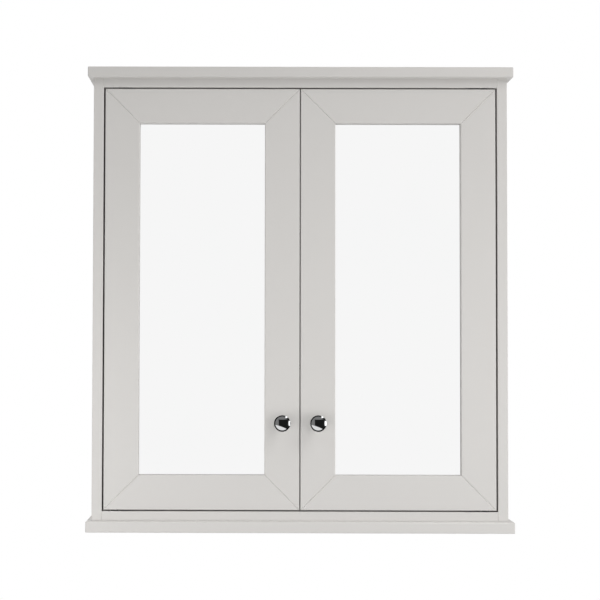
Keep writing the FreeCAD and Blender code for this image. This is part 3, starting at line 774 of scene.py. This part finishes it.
# soft light: an even sky, and panels round the front
# polished metal sees a studio whose camera side is dark, and exact mirrors see its white backdrop
sky = {"level": 0.276, "colour": (1.0, 1.0, 1.0, 1)}
backdrop = {"middle": 1.0, "sides": 0.72, "fall": (0.2, 0.8)}
studio = {
    "dark": 0.012,                # camera side and wings
    "walls": 0.2,
    "floor": 0.8,
    "lamp": 1.6,
    "back": 0.9,                  # behind the cabinet
    # edges of each zone, as parts of a unit direction
    "cameraLeft": (-0.56, -0.48),
    "cameraRight": (0.78, 0.86),
    "cameraTop": (0.54, 0.6),
    "floorLine": (-0.55, -0.5),
    "floorSlope": 0.35,           # the floor rises to the left
    "wings": (0.38, 0.46),        # dark band square to the view
    "behind": (0.4, 0.5),
    "sideLamp": {"across": (0.84, 0.9), "up": (0.26, 0.34)},
    "highLamp": {"across": (0.42, 0.48), "upFrom": (0.7, 0.76)},
}
lamps = {
    "highRight": {"at": (1.5, -1.0, 1.4), "aim": (0, -0.16, 0), "size": (1.6, 1.6), "power": 29.3},
    "overLeft": {"at": (-1.0, -0.9, 1.4), "aim": (0, -0.16, 0), "size": (0.9, 0.9), "power": 5.0},
    "lowLeft": {"at": (-0.65, -0.6, -0.3), "aim": (0, -0.16, 0), "size": (0.5, 0.5), "power": 1.9},
    "lowRight": {"at": (0.8, -0.9, -0.25), "aim": (0, -0.16, 0), "size": (0.8, 0.8), "power": 3.9},
    "front": {"at": (0, -1.0, -0.3), "aim": (0, -0.16, 0), "size": (0.9, 0.6), "power": 2.2},
    "behind": {"at": (-0.7, 2.0, 0.8), "aim": (0, 0, 0), "size": (1.6, 1.6), "power": 36},
}


def above(tree, value, edges):
    # 0 below the first edge, 1 above the second
    return ramp(tree, value, 0.0, 1.0, *edges)


def below(tree, value, edges):
    # 1 below the first edge, 0 above the second
    return ramp(tree, value, 1.0, 0.0, *edges)


def makeStudio(tree, across, depth, up):
    # brightness of the studio by the direction that a reflection looks in
    raised = arithmetic(tree, "MULTIPLY_ADD", across, studio["floorSlope"], up)
    toward = arithmetic(tree, "ABSOLUTE", depth)
    height = arithmetic(tree, "ABSOLUTE", up)
    camera = product(tree, above(tree, across, studio["cameraLeft"]),
                     below(tree, across, studio["cameraRight"]), below(tree, up, studio["cameraTop"]))
    sideLamp = product(tree, above(tree, across, studio["sideLamp"]["across"]),
                       below(tree, height, studio["sideLamp"]["up"]))
    highLamp = product(tree, above(tree, across, studio["highLamp"]["across"]),
                       above(tree, up, studio["highLamp"]["upFrom"]))
    level = layer(tree, studio["walls"], studio["dark"], camera)
    level = layer(tree, level, studio["floor"], below(tree, raised, studio["floorLine"]))
    level = layer(tree, level, studio["dark"], below(tree, toward, studio["wings"]))
    level = layer(tree, level, studio["back"], above(tree, depth, studio["behind"]))
    return layer(tree, level, studio["lamp"], arithmetic(tree, "MAXIMUM", sideLamp, highLamp))


def makeWorld():
    # sky for soft light, backdrop for the camera, glass and exact mirrors, studio for other polish
    world = bpy.data.worlds.new("studio")
    world.use_nodes = True
    tree = world.node_tree
    tree.nodes.clear()
    direction = addNode(tree, "SeparateXYZ", {"Vector": addNode(tree, "TexCoord").outputs["Generated"]})
    across, depth, up = (direction.outputs[axis] for axis in "XYZ")
    path = addNode(tree, "LightPath")
    aside = arithmetic(tree, "ABSOLUTE", across)
    mirrored = ramp(tree, aside, backdrop["middle"], backdrop["sides"], *backdrop["fall"])
    strength = layer(tree, sky["level"], mirrored, path.outputs["Is Glossy Ray"])
    strength = layer(tree, strength, makeStudio(tree, across, depth, up), seenByPolish(tree, path))
    direct = arithmetic(tree, "MAXIMUM", path.outputs["Is Camera Ray"], path.outputs["Is Transmission Ray"])
    strength = layer(tree, strength, backdrop["middle"], direct)
    back = addNode(tree, "Background", {"Color": sky["colour"], "Strength": strength})
    output = tree.nodes.new("ShaderNodeOutputWorld")
    tree.links.new(back.outputs["Background"], output.inputs["Surface"])
    bpy.context.scene.world = world


def makeLamp(name, look):
    # a soft panel that lights from its place towards its aim, and isn't seen itself
    data = bpy.data.lights.new(name, "AREA")
    data.shape = "RECTANGLE"
    data.size, data.size_y = look["size"]
    data.energy = look["power"]
    lamp = bpy.data.objects.new(name, data)
    lamp.visible_glossy = False
    lamp.visible_camera = False
    bpy.context.scene.collection.objects.link(lamp)
    toward = Vector(look["aim"]) - Vector(look["at"])
    lamp.location = look["at"]
    lamp.rotation_euler = toward.to_track_quat("-Z", "Y").to_euler()


makeWorld()
for name, look in lamps.items():
    makeLamp(name, look)
print("lights made")

# camera in front, a little to the left, as in the photograph
view = {"at": (-0.0823, -2.3193, -0.0731), "pitch": 1.879, "yaw": 0.199, "roll": 0.144, "lens": 86.73,
        "sensor": 36, "shift": 0.1}


def makeCamera():
    # turned up from straight down to level, then by pitch, yaw and roll in degrees
    data = bpy.data.cameras.new("camera")
    data.lens = view["lens"]
    data.sensor_width = view["sensor"]
    data.shift_x = view["shift"]
    camera = bpy.data.objects.new("camera", data)
    bpy.context.scene.collection.objects.link(camera)
    turn = (Matrix.Rotation(math.radians(view["yaw"]), 3, "Z")
            @ Matrix.Rotation(math.radians(90 + view["pitch"]), 3, "X")
            @ Matrix.Rotation(math.radians(view["roll"]), 3, "Z"))
    camera.location = view["at"]
    camera.rotation_euler = turn.to_euler()
    bpy.context.scene.camera = camera


makeCamera()
bpy.context.scene.view_settings.view_transform = "Standard"
print("camera set")
